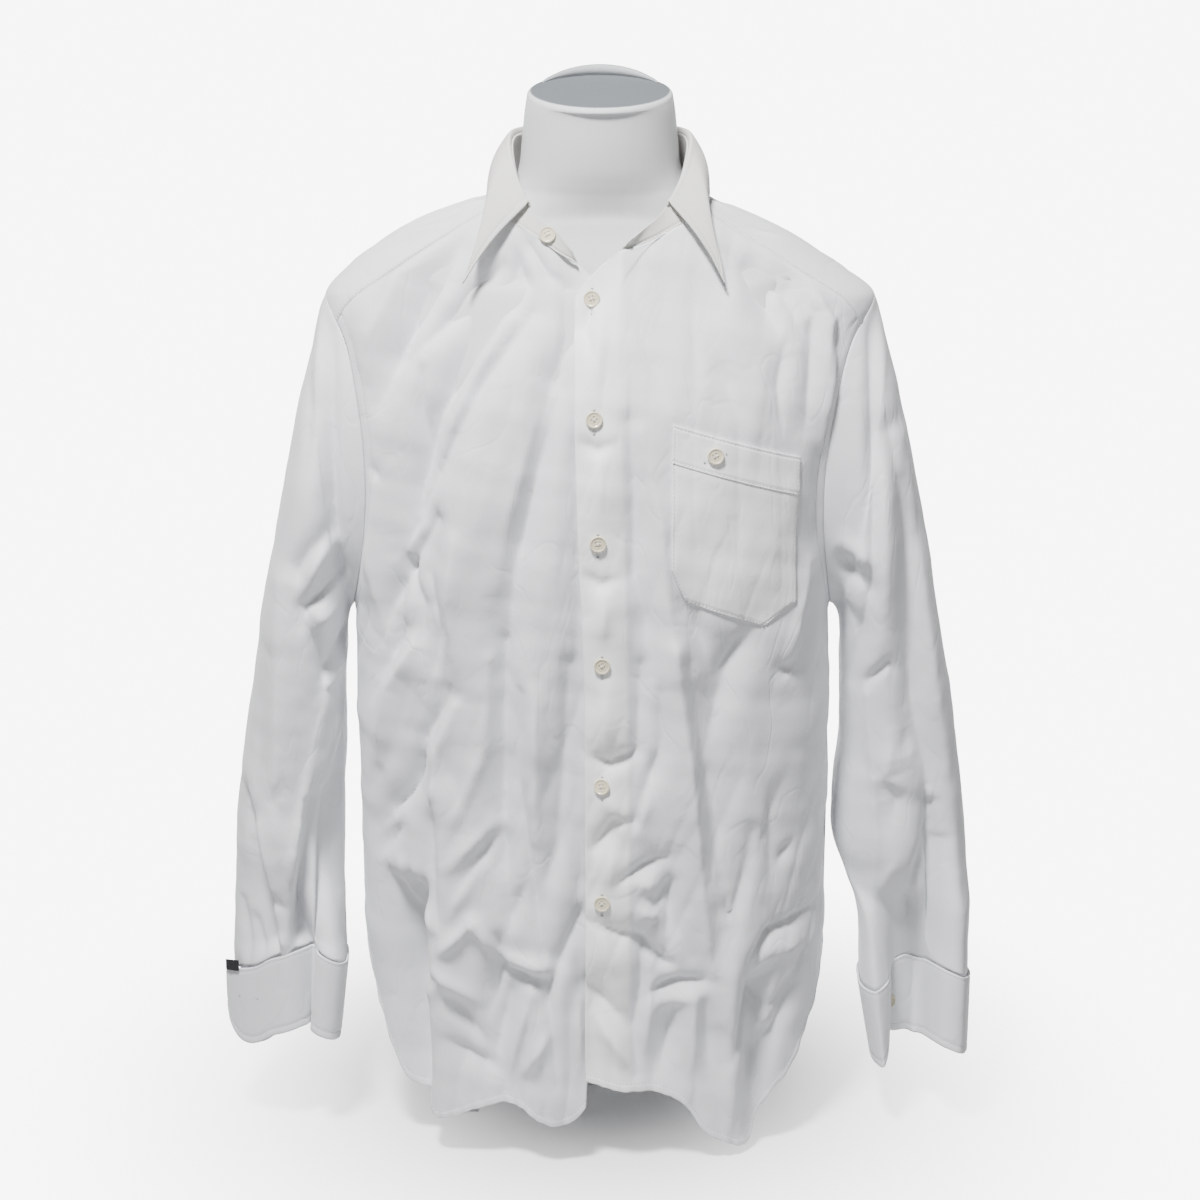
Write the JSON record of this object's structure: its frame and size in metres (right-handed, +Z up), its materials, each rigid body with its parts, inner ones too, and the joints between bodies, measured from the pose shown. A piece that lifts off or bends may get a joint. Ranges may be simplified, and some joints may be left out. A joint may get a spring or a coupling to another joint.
{
  "type": "long sleeve dress shirt on a dress form",
  "caption": "White cotton long sleeve dress shirt, buttoned front, chest pocket and open cuffs, worn on a limbless dress form that stands on a flat base.",
  "frame": {"origin": "On the underside of the stand's base, at the middle of its cross bar below the pole", "axes": "+X to the right in the picture, the wearer's left; +Y to the wearer's back; +Z up"},
  "size_m": [0.604, 0.246, 0.8401],
  "materials": {
    "cotton": "fine white cotton twill",
    "tab": "plain black woven tab",
    "pearl": "cream pearl",
    "form": "matt pale grey",
    "stand": "pale satin paint"
  },
  "bodies": {
    "root": {"frontUnder": "cotton", "frontOver": "cotton", "back": "cotton", "yoke": "cotton", "sleeveLeft": "cotton", "sleeveRight": "cotton", "cuffLeft": "cotton", "cuffRight": "cotton", "cuffTab": "tab", "collarStand": "cotton", "collarLeaf": "cotton", "pocket": "cotton", "pocketBand": "cotton", "button1": "pearl", "button2": "pearl", "button3": "pearl", "button4": "pearl", "button5": "pearl", "button6": "pearl", "pocketButton": "pearl", "collarButton": "pearl", "cuffButtonLeft": "pearl", "cuffButtonRight": "pearl", "formBody": "form", "formCrest": "form", "formPole": "stand", "formBase": "stand"}
  },
  "joints": []
}
